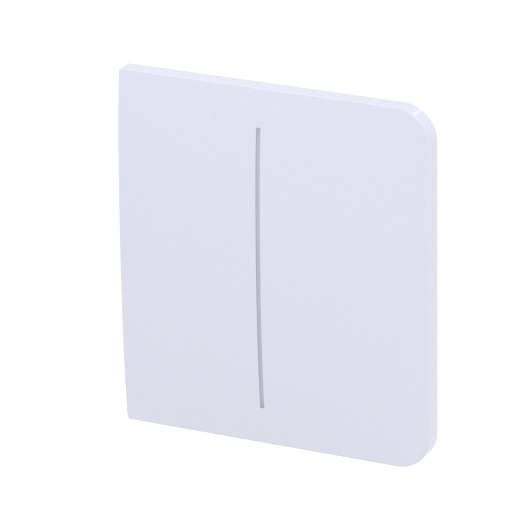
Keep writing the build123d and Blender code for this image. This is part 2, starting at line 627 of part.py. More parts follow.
def make_relay_board():
    """Circuit board of the core, notched round the housing's bosses."""
    sketch = core_section(CORE_WALL + RELAY_BOARD_CLEARANCE)
    for place in CORE_SCREW_PLACES:
        sketch -= Pos(*place) * Circle(CORE_BOSS_RADIUS + RELAY_BOARD_CLEARANCE)
    return prism(sketch, RELAY_BOARD_FRONT, RELAY_BOARD_BACK)


def behind_board(place, size):
    """A block component on the back of the relay board."""
    width, height, length = size
    return block(place, (width, length), RELAY_BOARD_BACK, RELAY_BOARD_BACK + height)


def make_radio_board():
    """Radio module on the front of the relay board."""
    size = (RADIO_WIDTH, RADIO_LENGTH)
    return block((0, RADIO_Z), size, RELAY_BOARD_FRONT - RADIO_THICKNESS, RELAY_BOARD_FRONT)


def make_relay(x):
    """Sealed relay that switches one lamp circuit."""
    relay = block((x, RELAY_Z), (RELAY_WIDTH, RELAY_LENGTH), RELAY_BOARD_BACK, RELAY_BACK)
    return chamfer(relay.faces().sort_by(Axis.Y)[-1].edges(), RELAY_EDGE)


def make_transformer_coil():
    """Wound and taped coil of the mains supply."""
    width, height, length = COIL_SIZE
    section = Pos(COIL_X, COIL_Z) * RectangleRounded(width, length, COIL_ROUND)
    return prism(section, RELAY_BOARD_BACK, RELAY_BOARD_BACK + height)


def make_transformer_yoke():
    """Ferrite yoke that bridges the coil."""
    place = (COIL_X, COIL_Z)
    top = RELAY_BOARD_BACK + COIL_SIZE[1] + YOKE_CLEARANCE
    yoke = block(place, (YOKE_OUTER_WIDTH, YOKE_WIDTH), RELAY_BOARD_BACK, top + YOKE_LEG)
    return yoke - block(place, (YOKE_INNER_WIDTH, YOKE_WIDTH), RELAY_BOARD_BACK, top)


def make_filter_capacitor():
    """Electrolytic can of the mains supply."""
    can = post((CAN_X, CAN_Z), CAN_RADIUS, RELAY_BOARD_BACK, RELAY_BOARD_BACK + CAN_LENGTH)
    return fillet(can.edges().sort_by(Axis.Y)[-1], CAN_EDGE)


def make_varistor():
    """Surge disc that stands on the board below the can."""
    side = Plane.YZ.offset(CAN_X - VARISTOR_THICKNESS / 2)
    disc = Pos(RELAY_BOARD_BACK + VARISTOR_RADIUS, VARISTOR_Z) * Circle(VARISTOR_RADIUS)
    return extrude(side * disc, VARISTOR_THICKNESS)


def make_fuse():
    """Tube fuse that lies on the front of the board."""
    side = Plane.YZ.offset(-FUSE_LENGTH / 2)
    tube = Pos(RELAY_BOARD_FRONT - FUSE_RADIUS, FUSE_Z) * Circle(FUSE_RADIUS)
    return extrude(side * tube, FUSE_LENGTH)


def make_radio_shield():
    """Metal can over the radio module."""
    size = (RADIO_WIDTH - 2 * SHIELD_INSET, RADIO_LENGTH - 2 * SHIELD_INSET)
    back = RELAY_BOARD_FRONT - RADIO_THICKNESS
    return block((0, RADIO_Z), size, back - SHIELD_HEIGHT, back)


def make_antenna():
    """Wire aerial above the radio module, with one foot on the board."""
    wire_y = RELAY_BOARD_FRONT - ANTENNA_HEIGHT
    bends = ((-1, RELAY_BOARD_FRONT), (-1, wire_y), (1, wire_y))
    points = [(side * ANTENNA_REACH, y, ANTENNA_Z) for side, y in bends]
    path = FilletPolyline(*points, radius=2 * ANTENNA_RADIUS)
    return sweep(Plane(path @ 0, z_dir=path % 0) * Circle(ANTENNA_RADIUS), path=path)


def make_pin_socket():
    """Socket on the relay board that takes the panel's pins."""
    body = block((0, 0), (HEADER_WIDTH, HEADER_HEIGHT), NOSE_FRONT, RELAY_BOARD_FRONT)
    hole = PIN_SIZE + 2 * PIN_CLEARANCE
    for place in PIN_PLACES:
        body -= block(place, (hole, hole), NOSE_FRONT, PIN_TIP + PIN_CLEARANCE)
    return body


def make_busbars():
    """Bent strips that lead from the terminals to the relay board."""
    low_z = TERMINAL_Z - CAGE_LENGTH / 2 - BUSBAR_OVERHANG
    high_z = TERMINAL_Z + CAGE_LENGTH / 2 + BUSBAR_LEG_GAP + BUSBAR_THICKNESS
    bars = []
    for x in TERMINAL_PLACES:
        bar = block((x, (low_z + high_z) / 2), (BUSBAR_WIDTH, high_z - low_z), BUSBAR_FRONT, BUSBAR_BACK)
        leg = (x, high_z - BUSBAR_THICKNESS / 2), (BUSBAR_WIDTH, BUSBAR_THICKNESS)
        bars.append(bar + block(*leg, RELAY_BOARD_BACK, BUSBAR_BACK))
    return Compound(bars)


def make_terminal_cage(x):
    """Clamp cage round a busbar, open above and below for the wire."""
    place = (x, TERMINAL_Z)
    cage = block(place, (CAGE_WIDTH, CAGE_LENGTH), SADDLE_FRONT, NUT_BACK)
    cage -= block(place, (CAGE_INNER_WIDTH, CAGE_LENGTH), SADDLE_BACK, NUT_FRONT)
    return cage - post(place, TERMINAL_SCREW_RADIUS + TERMINAL_THREAD_CLEARANCE, NUT_FRONT, NUT_BACK)


def make_terminal_screw(x):
    """Slotted clamp screw, worked from the back of the housing."""
    place = (x, TERMINAL_Z)
    tip = BUSBAR_BACK + TERMINAL_TIP_GAP
    radii = TERMINAL_SCREW_RADIUS, TERMINAL_HEAD_RADIUS
    body = screw(place, *radii, TERMINAL_HEAD_BACK, TERMINAL_HEAD_FRONT, tip)
    slot = (2 * TERMINAL_HEAD_RADIUS, DRIVER_SLOT_WIDTH)
    return body - block(place, slot, TERMINAL_HEAD_BACK - DRIVER_SLOT_DEPTH, TERMINAL_HEAD_BACK)


def make_parts():
    """Every piece under its node's name."""
    parts = {
        "front_panel": make_front_panel(),
        "divider_strip": make_divider_strip(),
        "left_electrode": make_electrode(-1),
        "right_electrode": make_electrode(1),
        "electrode_contacts": make_electrode_contacts(),
        "touch_board": make_touch_board(),
        "divider_leds": make_divider_leds(),
        "touch_controller": on_touch_board((CONTROLLER_X, CONTROLLER_Z), CONTROLLER_SIZE),
        "touch_chips": make_touch_chips(),
        "pin_header": make_pin_header(),
        "header_pins": make_header_pins(),
        "panel_cover": make_panel_cover(),
        "cover_screws": make_cover_screws(),
        "support_frame": make_support_frame(),
        "mounting_plate": make_mounting_plate(),
        "core_cover": make_core_cover(),
        "spigot_clips": make_spigot_clips(),
        "core_housing": make_core_housing(),
        "core_screws": make_core_screws(),
        "relay_board": make_relay_board(),
        "left_relay": make_relay(LEFT_RELAY_X),
        "right_relay": make_relay(RIGHT_RELAY_X),
        "transformer_coil": make_transformer_coil(),
        "transformer_yoke": make_transformer_yoke(),
        "filter_capacitor": make_filter_capacitor(),
        "varistor": make_varistor(),
        "film_capacitor": behind_board((COIL_X, FILM_CAPACITOR_Z), FILM_CAPACITOR_SIZE),
        "rectifier": behind_board((0, RECTIFIER_Z), RECTIFIER_SIZE),
        "fuse": make_fuse(),
        "radio_board": make_radio_board(),
        "radio_shield": make_radio_shield(),
        "antenna": make_antenna(),
        "pin_socket": make_pin_socket(),
        "busbars": make_busbars(),
    }
    for number, x in enumerate(TERMINAL_PLACES, start=1):
        parts[f"terminal_cage_{number}"] = make_terminal_cage(x)
        parts[f"terminal_screw_{number}"] = make_terminal_screw(x)
    return parts


os.makedirs("parts", exist_ok=True)
for node, shape in make_parts().items():
    export_step(shape, f"parts/{node}.step")
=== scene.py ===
"""Looks of a touch light switch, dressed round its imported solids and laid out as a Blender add-on.

Lengths are in metres in the frame of the solids: X right as seen from the front, Y into the wall, Z up.
"""

import json
import math
from collections import namedtuple

import bmesh
import bpy
from bpy.props import FloatProperty, FloatVectorProperty, PointerProperty
from bpy.types import Operator, Panel, PropertyGroup
from mathutils import Matrix, Vector


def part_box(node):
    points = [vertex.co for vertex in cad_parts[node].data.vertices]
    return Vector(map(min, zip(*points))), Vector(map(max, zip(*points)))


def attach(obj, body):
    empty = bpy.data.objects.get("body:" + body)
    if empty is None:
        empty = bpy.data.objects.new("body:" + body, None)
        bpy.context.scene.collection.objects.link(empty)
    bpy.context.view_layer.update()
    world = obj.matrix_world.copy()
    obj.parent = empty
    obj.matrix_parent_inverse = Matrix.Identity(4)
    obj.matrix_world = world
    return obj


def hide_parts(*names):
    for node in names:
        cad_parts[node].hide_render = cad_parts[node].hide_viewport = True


bl_info = {
    "name": "Touch Light Switch",
    "version": (1, 0, 0),
    "blender": (4, 5, 0),
    "location": "View3D > Sidebar > Touch Switch",
    "description": "Dresses the solids of a flush touch light switch and sets its studio",
    "category": "Object",
}

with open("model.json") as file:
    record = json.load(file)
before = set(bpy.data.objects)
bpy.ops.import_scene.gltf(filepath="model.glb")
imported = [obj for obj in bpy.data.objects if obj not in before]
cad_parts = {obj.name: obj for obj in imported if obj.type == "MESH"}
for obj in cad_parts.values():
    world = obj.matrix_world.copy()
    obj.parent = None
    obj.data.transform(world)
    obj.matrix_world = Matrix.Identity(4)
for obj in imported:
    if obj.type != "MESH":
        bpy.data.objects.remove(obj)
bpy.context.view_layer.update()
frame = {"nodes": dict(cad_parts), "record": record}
NODES = frame["nodes"]
SLOTS = {row["node"]: row["material_slot"] for row in frame["record"]["subparts"]}
BODIES = {node: body for body, nodes in frame["record"]["behaviour"]["bodies"].items() for node in nodes}
SHARP_ANGLE = math.radians(32)  # steeper edges are shaded sharp or rounded
FLAT_ANGLE = math.radians(1)  # faces that meet at less are one flat face
WELD = 1e-7  # corners that are nearer are one corner
ROUND_STEPS = 3
CROSS_SCREW_STEPS = 32
CLAMP_SCREW_STEPS = 40
TERMINALS = (1, 2, 3, 4)
PIN_COLUMNS = 5
PIN_ROWS = 2
INTO_WALL = Matrix.Rotation(math.radians(-90), 4, "X")  # turns a shape's +Z to +Y
OUT_OF_WALL = Matrix.Rotation(math.radians(90), 4, "X")  # turns a shape's +Z to -Y
NOISE_LOW = 0.3  # a noise mask lies mostly between these two
NOISE_HIGH = 0.7
SENSOR_WIDTH = 36.0
FAR_CLIP = 100.0
# Soft round lamp: place, width
LAMPS = {
    "front": ((0.12, -0.5, 0.3), 0.3),
    "edge": ((-0.5, -0.4, 1.0), 0.3),
    "glint": ((0.143, 0.838, 0.527), 0.08),
}


def colour(name, description, default):
    """A colour that the user may change."""
    return FloatVectorProperty(
        name=name, description=description, subtype="COLOR", size=3, min=0.0, max=1.0, default=default
    )


def length(name, description, default):
    """A length that the user may change."""
    return FloatProperty(
        name=name, description=description, subtype="DISTANCE", unit="LENGTH", min=0.0, default=default
    )


def angle(name, description, degrees):
    """An angle that the user may change."""
    return FloatProperty(
        name=name, description=description, subtype="ANGLE", unit="ROTATION", default=math.radians(degrees)
    )


def power(name, description, default):
    """A lamp's power that the user may change."""
    return FloatProperty(
        name=name, description=description, subtype="POWER", unit="POWER", min=0.0, default=default
    )


def light_level(name, description, default):
    """A level of light that the user may change."""
    return FloatProperty(name=name, description=description, default=default)


class SwitchColours(PropertyGroup):
    """Colours of the switch's finishes."""

    panel: colour("Panel", "Face and rim of the touch panel", (0.716, 0.729, 0.833))
    divider: colour("Divider", "Light bar between the touch fields", (0.508, 0.503, 0.588))
    cover: colour("Cover", "Panel back and support frame", (0.74, 0.75, 0.79))
    core: colour("Core", "Core housing and its front", (0.135, 0.143, 0.16))
    plate: colour("Plate", "Zinc on the mounting plate", (0.56, 0.58, 0.61))
    screw: colour("Screws", "Zinc on the screws", (0.64, 0.65, 0.66))
    copper: colour("Foil", "Copper of the touch foils", (0.83, 0.43, 0.27))
    bronze: colour("Springs", "Bronze of clips, contacts and aerial", (0.74, 0.51, 0.27))
    gold: colour("Pins", "Gold flash on the plug's pins", (0.92, 0.69, 0.30))
    nickel: colour("Terminals", "Nickel on busbars and cages", (0.76, 0.71, 0.61))
    touch_mask: colour("Touch board", "White mask of the touch board", (0.77, 0.79, 0.77))
    relay_mask: colour("Relay board", "Green mask of the relay board", (0.018, 0.15, 0.065))
    epoxy: colour("Chips", "Black moulded epoxy", (0.022, 0.022, 0.025))
    lens: colour("Lamps", "Lamp lenses with phosphor", (0.88, 0.80, 0.42))
    socket: colour("Plug bodies", "Black plastic of header and socket", (0.026, 0.026, 0.029))
    relay: colour("Relays", "Relay cases", (0.035, 0.045, 0.07))
    tape: colour("Coil tape", "Polyester tape round the coil", (0.80, 0.50, 0.05))
    ferrite: colour("Yoke", "Sintered ferrite", (0.075, 0.073, 0.076))
    sleeve: colour("Can sleeve", "Shrink sleeve of the can", (0.04, 0.055, 0.12))
    varistor: colour("Varistor", "Dipped epoxy of the surge disc", (0.035, 0.16, 0.46))
    film: colour("Film capacitor", "Box of the film capacitor", (0.50, 0.50, 0.48))
    ceramic: colour("Fuse", "Ceramic tube of the fuse", (0.82, 0.76, 0.62))
    tin: colour("Shield", "Tinned can of the radio", (0.74, 0.75, 0.76))


class SwitchSizes(PropertyGroup):
    """Sizes of the fine shapes that the solids leave plain."""

    cover_floor: length("Cover floor", "Thickness of the panel's cover under its screws' heads", 0.001)
    cover_head: length("Cover screw head", "Head radius of the cover's screws", 0.0017)
    cover_shank: length("Cover screw shank", "Radius of the cover's screws over the thread", 0.00095)
    cover_thread: length("Cover thread pitch", "Thread pitch of the cover's screws", 0.0007)
    core_head: length("Core screw head", "Head radius of the core's screws", 0.0023)
    core_shank: length("Core screw shank", "Radius of the core's screws over the thread", 0.0012)
    core_thread: length("Core thread pitch", "Thread pitch of the core's screws", 0.0009)
    clamp_head: length("Clamp screw head", "Head height of the clamp screws", 0.0016)
    clamp_shank: length("Clamp screw shank", "Radius of the clamp screws over the thread", 0.0015)
    clamp_thread: length("Clamp thread pitch", "Thread pitch of the clamp screws", 0.0005)
    thread_depth: length("Thread depth", "How deep the threads are cut", 0.00022)
    recess_arm: length("Recess arm", "Width of the arms of a cross recess", 0.00062)
    slot_width: length("Slot width", "Width of the slot in a clamp screw", 0.0007)
    slot_depth: length("Slot depth", "Depth of the slot in a clamp screw", 0.0009)
    rib_width: length("Rib width", "Width of a guide rib at its foot", 0.0017)
    rib_height: length("Rib height", "How far a guide rib stands out of the housing", 0.0006)
    rib_length: length("Rib length", "Length of a guide rib", 0.0165)
    rib_spacing: length("Rib spacing", "Distance between the guide ribs of a side", 0.0085)
    pin_width: length("Pin width", "Width of a plug pin", 0.00064)
    pin_point: length("Pin point", "Length of the taper on a plug pin", 0.0008)
    socket_mouth: length("Socket mouth", "Width of the funnel at a socket hole", 0.0015)
    socket_funnel: length("Socket funnel", "Depth of the funnel at a socket hole", 0.0005)
    socket_hole: length("Socket hole", "Width of a socket hole below its funnel", 0.00088)
    socket_spare: length("Socket spare", "How far a socket hole runs on past its pin", 0.0001)
    cell_groove: length("Cell groove", "Width and depth of the grooves between a header's cells", 0.00018)
    chip_edge: length("Chip edge", "Rounding of lamps and chips on the touch board", 0.0001)
    case_edge: length("Case edge", "Rounding of relays, film capacitor and radio shield", 0.0004)
    block_edge: length("Block edge", "Rounding of the coil's yoke and the rectifier", 0.0002)
    strap_edge: length("Strap edge", "Rounding of busbars and clamp cages", 0.00015)


class SwitchStudio(PropertyGroup):
    """Camera, floor and light."""

    yaw: angle("Yaw", "How far the camera stands to the right", 26.789)
    pitch: angle("Pitch", "How far the camera looks down", 20.132)
    roll: angle("Roll", "How far the camera is tilted", -0.803)
    distance: length("Distance", "Camera to the point that it looks at", 1.039767)
    aim: FloatVectorProperty(
        name="Aim",
        description="Point that the camera looks at",
        subtype="TRANSLATION",
        unit="LENGTH",
        default=(-0.001416, -0.003, -0.000857),
    )
    lens: FloatProperty(
        name="Lens",
        description="Focal length on a 36 mm wide sensor",
        subtype="DISTANCE_CAMERA",
        unit="CAMERA",
        default=313.226,
    )
    floor_drop: length("Floor drop", "Floor below the middle of the switch", 0.55)
    floor_size: length("Floor size", "Length of the floor's sides", 12.0)
    floor_tone: colour("Floor", "Colour of the floor", (0.8, 0.8, 0.8))
    floor_fill: light_level("Floor fill", "Light that the floor adds, so that it reads white", 0.32)
    sky_level: light_level("Sky level", "Light from the horizon", 0.88)
    sky_rise: light_level("Sky rise", "How much more light comes from above than from the horizon", 0.09)
    sky_side: light_level("Sky side", "How much more light comes from the right than from the front", 0.3)
    front_power: power("Front lamp", "Power of the near lamp in front, which shades the face", 0.53)
    edge_power: power("Edge lamp", "Power of the lamp above, which draws the line on the top edge", 1.2)
    glint_power: power("Glint lamp", "Power of the lamp behind, which glints on the right corner", 0.028)


def add_node(tree, kind, inputs=(), **settings):
    """A new node with its settings, its plain input values and the sockets that feed it."""
    node = tree.nodes.new(kind)
    for key, value in settings.items():
        setattr(node, key, value)
    for socket, value in dict(inputs).items():
        if isinstance(value, bpy.types.NodeSocket):
            tree.links.new(value, node.inputs[socket])
        else:
            node.inputs[socket].default_value = value
    return node


def reckon(tree, operation, *values):
    """The result of an operation on numbers and sockets."""
    return add_node(tree, "ShaderNodeMath", dict(enumerate(values)), operation=operation).outputs[0]


def mix_values(tree, share, first, second):
    """A mix of two values, with a share of the second."""
    return add_node(tree, "ShaderNodeMix", {"Factor": share, "A": first, "B": second}).outputs["Result"]


def new_effect(name, values):
    """An empty effect group: vector, tone and named values go in, colour, roughness and height come out."""
    group = bpy.data.node_groups.new(name, "ShaderNodeTree")
    group.interface.new_socket("Vector", in_out="INPUT", socket_type="NodeSocketVector")
    group.interface.new_socket("Tone", in_out="INPUT", socket_type="NodeSocketColor")
    for socket, default in values.items():
        made = group.interface.new_socket(socket, in_out="INPUT", socket_type="NodeSocketFloat")
        made.default_value = default
    group.interface.new_socket("Colour", in_out="OUTPUT", socket_type="NodeSocketColor")
    group.interface.new_socket("Roughness", in_out="OUTPUT", socket_type="NodeSocketFloat")
    group.interface.new_socket("Height", in_out="OUTPUT", socket_type="NodeSocketFloat")
    return group, group.nodes.new("NodeGroupInput").outputs


def close_effect(group, given, shade, gloss, height):
    """Ends an effect group: a factor shades the tone, a mask spreads the gloss, and the height goes out."""
    shaded = add_node(group, "ShaderNodeHueSaturation", {"Color": given["Tone"], "Value": shade})
    rough = spread(group, gloss, given["Gloss"], given["Gloss Spread"])
    ends = {"Colour": shaded.outputs["Color"], "Roughness": rough, "Height": height}
    add_node(group, "NodeGroupOutput", ends)
    return group


def spread(group, mask, middle, width):
    """A noise mask turned to values about a middle, a width to either side."""
    span = {
        "Value": mask,
        "From Min": NOISE_LOW,
        "From Max": NOISE_HIGH,
        "To Min": reckon(group, "SUBTRACT", middle, width),
        "To Max": reckon(group, "ADD", middle, width),
    }
    return add_node(group, "ShaderNodeMapRange", span).outputs["Result"]


def noise(group, vector, scale, detail=2.0, roughness=0.5):
    """A noise mask at a scale."""
    inputs = {"Vector": vector, "Scale": scale, "Detail": detail, "Roughness": roughness}
    return add_node(group, "ShaderNodeTexNoise", inputs).outputs["Fac"]


MOULDING = {"Cloud Scale": 45.0, "Cloud": 0.01, "Grain Scale": 2600.0, "Gloss": 0.45, "Gloss Spread": 0.04}


def close_moulding(group, given, middle):
    """Ends an effect group as moulded plastic, with a cloudiness about a middle and an eroded grain."""
    cloud = noise(group, given["Vector"], given["Cloud Scale"], detail=3.0)
    grain = noise(group, given["Vector"], given["Grain Scale"], detail=3.0, roughness=0.6)
    return close_effect(group, given, spread(group, cloud, middle, given["Cloud"]), grain, grain)


def moulded_grain():
    """Moulded plastic: a faint cloudiness and an eroded grain that the gloss varies with."""
    group, given = new_effect("moulded grain", MOULDING)
    return close_moulding(group, given, 1.0)


def light_bar():
    """Light bar: moulded plastic with painted shade that darkens it towards both ends of what shows, short
    of its hidden flange.
    """
    # Where the painted shade fades in from each end, and the factor that the tone falls to at the lower and
    # upper end
    ends = {"Flange": 0.0012, "Fade End": 0.0036, "Lower End": 0.86, "Upper End": 0.93}
    group, given = new_effect("light bar", {**MOULDING, **ends})
    low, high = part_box("divider_strip")
    place = add_node(group, "ShaderNodeSeparateXYZ", {"Vector": given["Vector"]}).outputs["Z"]
    insets = {
        "Lower End": reckon(group, "SUBTRACT", place, low.z),
        "Upper End": reckon(group, "SUBTRACT", high.z, place),
    }
    # Painted shade: the tone darkens over the last few millimetres at each end, as the slot's end walls
    # would shade it
    painted_end_shades = []
    for end, inset in insets.items():
        fade = {"From Min": given["Flange"], "From Max": given["Fade End"], "To Min": given[end]}
        painted_end_shades.append(add_node(group, "ShaderNodeMapRange", {"Value": inset, **fade}).outputs["Result"])
    return close_moulding(group, given, reckon(group, "MULTIPLY", *painted_end_shades))


def plated_streaks():
    """Plated metal: rolling streaks along the stretched way of the vector, over a soft mottle."""
    pattern = {"Streak Scale": 900.0, "Streak": 0.06, "Mottle Scale": 160.0, "Mottle Share": 0.4}
    group, given = new_effect("plated streaks", {**pattern, "Gloss": 0.32, "Gloss Spread": 0.06})
    streak = noise(group, given["Vector"], given["Streak Scale"], detail=4.0, roughness=0.65)
    mottle = noise(group, given["Vector"], given["Mottle Scale"])
    both = mix_values(group, given["Mottle Share"], streak, mottle)
    return close_effect(group, given, spread(group, both, 1.0, given["Streak"]), streak, streak)


def board_tracks():
    """Circuit board: copper tracks in bands that change their way from field to field, under the mask."""
    tracks = {"Track Scale": 260.0, "Track": 0.22, "Track Foot": 0.55, "Track Top": 0.7}
    fields = {"Field Scale": 95.0, "Level Fields": 0.5, "Bare Fields": 0.3, "Mottle Scale": 700.0}
    group, given = new_effect("board tracks", {**tracks, **fields, "Gloss": 0.38, "Gloss Spread": 0.05})
    cells = add_node(
        group,
        "ShaderNodeTexVoronoi",
        {"Vector": given["Vector"], "Scale": given["Field Scale"]},
        distance="CHEBYCHEV",
    )
    bands = [
        add_node(
            group,
            "ShaderNodeTexWave",
            {"Vector": given["Vector"], "Scale": given["Track Scale"], "Distortion": 0.0},
            bands_direction=way,
        ).outputs["Fac"]
        for way in ("X", "Z")
    ]
    lots = add_node(group, "ShaderNodeSeparateColor", {"Color": cells.outputs["Color"]}).outputs
    lines = mix_values(group, reckon(group, "GREATER_THAN", lots["Red"], given["Level Fields"]), *bands)
    steep = {"Value": lines, "From Min": given["Track Foot"], "From Max": given["Track Top"]}
    track = add_node(group, "ShaderNodeMapRange", steep).outputs["Result"]
    laid = reckon(group, "GREATER_THAN", lots["Green"], given["Bare Fields"])
    shown = reckon(group, "MULTIPLY", track, laid)
    shade = reckon(group, "MULTIPLY_ADD", shown, given["Track"], 1.0)
    mottle = noise(group, given["Vector"], given["Mottle Scale"])
    return close_effect(group, given, shade, mottle, shown)


def sintered_speckle():
    """Pressed or cast powder: small pale and dark specks with a pitted skin."""
    values = {"Speck Scale": 5200.0, "Speck": 0.3, "Pit Scale": 1500.0, "Gloss": 0.55, "Gloss Spread": 0.12}
    group, given = new_effect("sintered speckle", values)
    specks = noise(group, given["Vector"], given["Speck Scale"], roughness=0.7)
    pits = noise(group, given["Vector"], given["Pit Scale"], detail=4.0, roughness=0.6)
    return close_effect(group, given, spread(group, specks, 1.0, given["Speck"]), pits, pits)


def wound_layers():
    """Tape or sleeve wrapped in turns: overlapping bands across the winding, with soft wrinkles."""
    turning = {"Turn Scale": 110.0, "Turn": 0.1, "Waver": 0.4}
    wrinkling = {"Wrinkle Scale": 420.0, "Wrinkle Share": 0.4, "Gloss": 0.24, "Gloss Spread": 0.06}
    group, given = new_effect("wound layers", {**turning, **wrinkling})
    bands = {"Scale": given["Turn Scale"], "Distortion": given["Waver"], "Detail": 1.0}
    turns = add_node(
        group,
        "ShaderNodeTexWave",
        {"Vector": given["Vector"], **bands},
        bands_direction="Y",
        wave_profile="SAW",
    ).outputs["Fac"]
    wrinkles = noise(group, given["Vector"], given["Wrinkle Scale"], detail=3.0)
    relief = mix_values(group, given["Wrinkle Share"], turns, wrinkles)
    return close_effect(group, given, spread(group, turns, 1.0, given["Turn"]), wrinkles, relief)


# A slot's looks: its colour, its effect and the depth of its relief, the effect's own values, the stretch
# of its pattern along X, Y and Z, and the shader's values that are the same all over
Finish = namedtuple("Finish", "tone effect relief values stretch plain", defaults=({}, (1, 1, 1), {}))
METAL = {"Metallic": 1.0}
FINISHES = {
    "panel_white": Finish(
        "panel",
        moulded_grain,
        1.0e-6,
        {"Cloud": 0.015, "Cloud Scale": 1200.0, "Grain Scale": 5200.0, "Gloss": 0.12, "Gloss Spread": 0.02},
        plain={"Specular IOR Level": 0.42},
    ),
    "strip_grey": Finish(
        "divider",
        light_bar,
        2.0e-6,
        {"Cloud": 0.02, "Cloud Scale": 160.0, "Grain Scale": 6000.0, "Gloss": 0.5, "Gloss Spread": 0.05},
        plain={"Specular IOR Level": 0.4},
    ),
    "cover_white": Finish(
        "cover",
        moulded_grain,
        6.0e-6,
        {"Cloud": 0.012, "Grain Scale": 2400.0, "Gloss": 0.52, "Gloss Spread": 0.06},
        plain={"Specular IOR Level": 0.4},
    ),
    "core_grey": Finish(
        "core",
        moulded_grain,
        2.2e-5,
        {"Cloud": 0.05, "Cloud Scale": 60.0, "Grain Scale": 1700.0, "Gloss": 0.55, "Gloss Spread": 0.1},
        plain={"Specular IOR Level": 0.45},
    ),
    "plate_steel": Finish(
        "plate",
        plated_streaks,
        1.5e-6,
        {"Streak": 0.05, "Streak Scale": 3000.0, "Mottle Scale": 700.0, "Gloss": 0.34},
        stretch=(0.05, 1, 1),
        plain=METAL,
    ),
    "screw_steel": Finish(
        "screw",
        plated_streaks,
        3.0e-6,
        {"Streak": 0.1, "Streak Scale": 2600.0, "Mottle Scale": 500.0, "Gloss": 0.3, "Gloss Spread": 0.08},
        stretch=(1, 0.3, 1),
        plain=METAL,
    ),
    "copper_foil": Finish(
        "copper",
        plated_streaks,
        2.0e-6,
        {"Streak": 0.08, "Gloss": 0.34},
        stretch=(1, 1, 0.05),
        plain=METAL,
    ),
    "spring_bronze": Finish(
        "bronze",
        plated_streaks,
        2.0e-6,
        {"Streak": 0.08, "Streak Scale": 2000.0, "Gloss": 0.27},
        stretch=(1, 0.1, 1),
        plain=METAL,
    ),
    "pin_gold": Finish(
        "gold",
        plated_streaks,
        1.5e-6,
        {"Streak Scale": 3000.0, "Gloss": 0.22, "Gloss Spread": 0.05},
        stretch=(1, 0.1, 1),
        plain=METAL,
    ),
    "terminal_brass": Finish(
        "nickel",
        plated_streaks,
        3.0e-6,
        {"Streak": 0.1, "Streak Scale": 1500.0, "Gloss": 0.3, "Gloss Spread": 0.08},
        stretch=(1, 1, 0.08),
        plain=METAL,
    ),
    "touch_board_white": Finish("touch_mask", board_tracks, 1.2e-5, {"Track": -0.05, "Gloss": 0.34}),
    "relay_board_green": Finish(
        "relay_mask",
        board_tracks,
        1.6e-5,
        {"Track Scale": 180.0, "Track": 0.55, "Gloss": 0.3},
    ),
    "chip_black": Finish("epoxy", sintered_speckle, 4.0e-6, {"Speck": 0.25}),
    "led_white": Finish(
        "lens",
        moulded_grain,
        1.0e-6,
        {"Cloud": 0.06, "Cloud Scale": 900.0, "Gloss": 0.2},
        plain={"Coat Weight": 0.6, "Coat Roughness": 0.1},
    ),
    "header_black": Finish(
        "socket",
        moulded_grain,
        5.0e-6,
        {"Cloud": 0.1, "Cloud Scale": 300.0, "Grain Scale": 3600.0, "Gloss": 0.48, "Gloss Spread": 0.1},
    ),
    "relay_black": Finish(
        "relay",
        moulded_grain,
        3.0e-6,
        {"Cloud": 0.06, "Cloud Scale": 120.0, "Gloss": 0.26, "Gloss Spread": 0.06},
    ),
    "coil_tape": Finish(
        "tape",
        wound_layers,
        2.0e-5,
        plain={"Coat Weight": 0.5, "Coat Roughness": 0.15},
    ),
    "ferrite": Finish("ferrite", sintered_speckle, 1.2e-5, {"Speck": 0.35}),
    "can_sleeve": Finish(
        "sleeve",
        wound_layers,
        8.0e-6,
        {"Turn": 0.05, "Turn Scale": 40.0, "Gloss": 0.22},
        plain={"Coat Weight": 0.4, "Coat Roughness": 0.12},
    ),
    "varistor_blue": Finish(
        "varistor",
        moulded_grain,
        1.6e-5,
        {"Cloud": 0.08, "Cloud Scale": 260.0, "Grain Scale": 900.0, "Gloss": 0.22, "Gloss Spread": 0.06},
        plain={"Coat Weight": 0.3, "Coat Roughness": 0.1},
    ),
    "capacitor_grey": Finish(
        "film",
        moulded_grain,
        5.0e-6,
        {"Cloud": 0.04, "Cloud Scale": 200.0, "Gloss": 0.4},
    ),
    "fuse_ceramic": Finish("ceramic", sintered_speckle, 6.0e-6, {"Speck": 0.05, "Gloss": 0.4}),
    "shield_tin": Finish(
        "tin",
        plated_streaks,
        3.0e-6,
        {"Streak": 0.07, "Streak Scale": 1400.0, "Gloss": 0.28},
        stretch=(0.1, 1, 1),
        plain=METAL,
    ),
}


def slot_material(slot):
    """The material of a slot of the record, made when it is first asked for."""
    name = "finish " + slot
    if name in bpy.data.materials:
        return bpy.data.materials[name]
    looks = FINISHES[slot]
    made = bpy.data.materials.new(name)
    made.use_nodes = True
    tree = made.node_tree
    surface = tree.nodes["Principled BSDF"]
    group = bpy.data.node_groups.get(looks.effect.__name__.replace("_", " ")) or looks.effect()
    place = add_node(tree, "ShaderNodeTexCoord").outputs["Object"]
    stretched = add_node(tree, "ShaderNodeMapping", {"Vector": place, "Scale": looks.stretch})
    tone = (*getattr(bpy.context.scene.switch_colours, looks.tone), 1.0)
    inputs = {"Vector": stretched.outputs["Vector"], "Tone": tone, **looks.values}
    pattern = add_node(tree, "ShaderNodeGroup", inputs, node_tree=group).outputs
    bump = add_node(tree, "ShaderNodeBump", {"Height": pattern["Height"], "Distance": looks.relief})
    tree.links.new(pattern["Colour"], surface.inputs["Base Color"])
    tree.links.new(pattern["Roughness"], surface.inputs["Roughness"])
    tree.links.new(bump.outputs["Normal"], surface.inputs["Normal"])
    for socket, value in looks.plain.items():
        surface.inputs[socket].default_value = value
    return made


def coat(*names):
    """Gives CAD nodes the finish of the slot that the record names for them."""
    for name in names:
        holder = NODES[name].material_slots[0]
        holder.link = "OBJECT"
        holder.material = slot_material(SLOTS[name])


def as_mesh(shape, name):
    """A bmesh put away as a mesh."""
    mesh = bpy.data.meshes.new(name)
    shape.to_mesh(mesh)
    shape.free()
    return mesh


